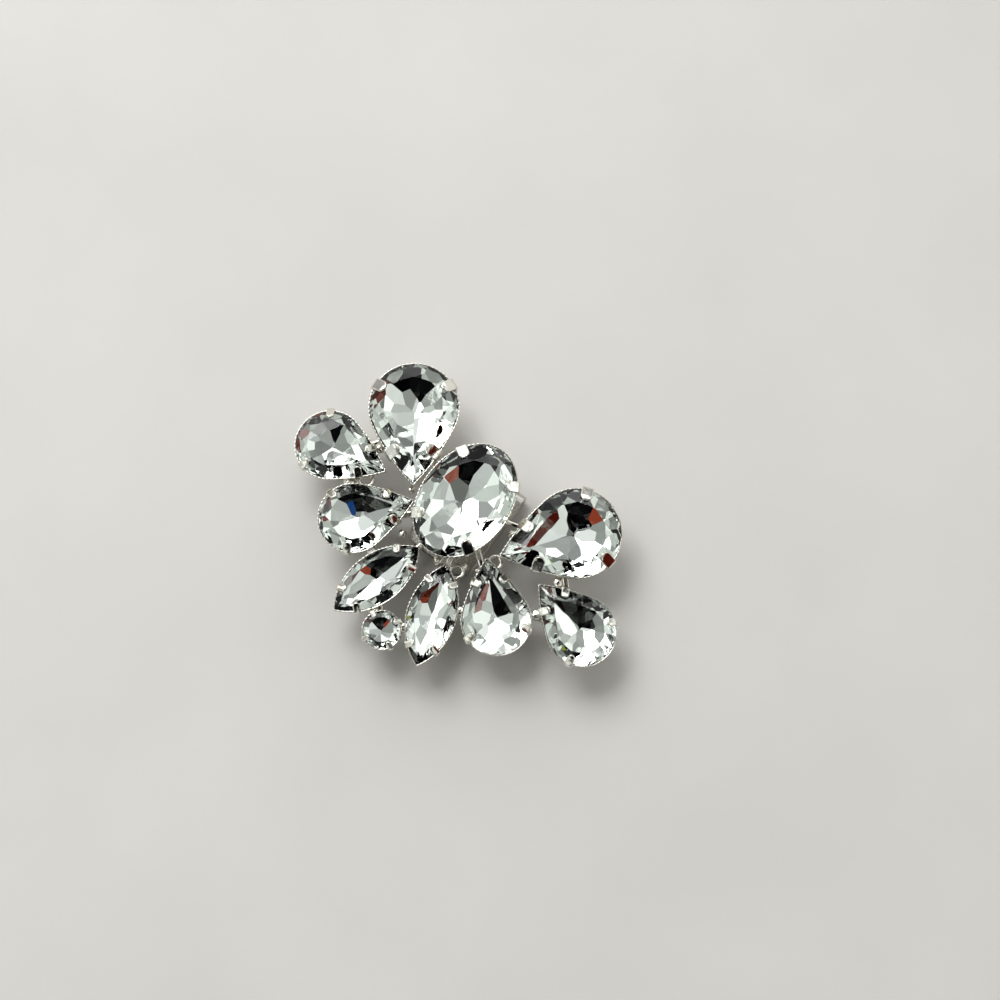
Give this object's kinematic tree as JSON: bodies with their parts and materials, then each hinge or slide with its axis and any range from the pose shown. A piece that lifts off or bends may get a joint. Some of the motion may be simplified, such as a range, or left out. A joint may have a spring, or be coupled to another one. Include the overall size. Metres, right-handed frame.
{
  "type": "rhinestone shoe clip",
  "caption": "Fan-shaped shoe clip of cut clear stones, an oval, pears, navettes and a round one, in soldered silver-plated claw settings, with a folded spring clip behind.",
  "frame": {"origin": "on the surface that the clip lies on, under the middle of the outline", "axes": "+X from the left wing to the right one, +Y away from the shoe's toe, +Z out of the stones' tables"},
  "size_m": [0.057, 0.0392, 0.0118],
  "materials": {
    "cut_glass": "polished facets with a silvered back",
    "silver_plate": "bright silver plate",
    "clip_steel": "nickel-plated spring strip"
  },
  "bodies": {
    "root": {"oval_stone": "cut_glass", "pear_large_left": "cut_glass", "pear_large_right": "cut_glass", "pear_small_left": "cut_glass", "pear_small_right": "cut_glass", "pear_medium_left": "cut_glass", "pear_medium_right": "cut_glass", "navette_left": "cut_glass", "navette_right": "cut_glass", "round_stone": "cut_glass", "setting_frame": "silver_plate", "shoe_clip": "clip_steel"}
  },
  "joints": []
}
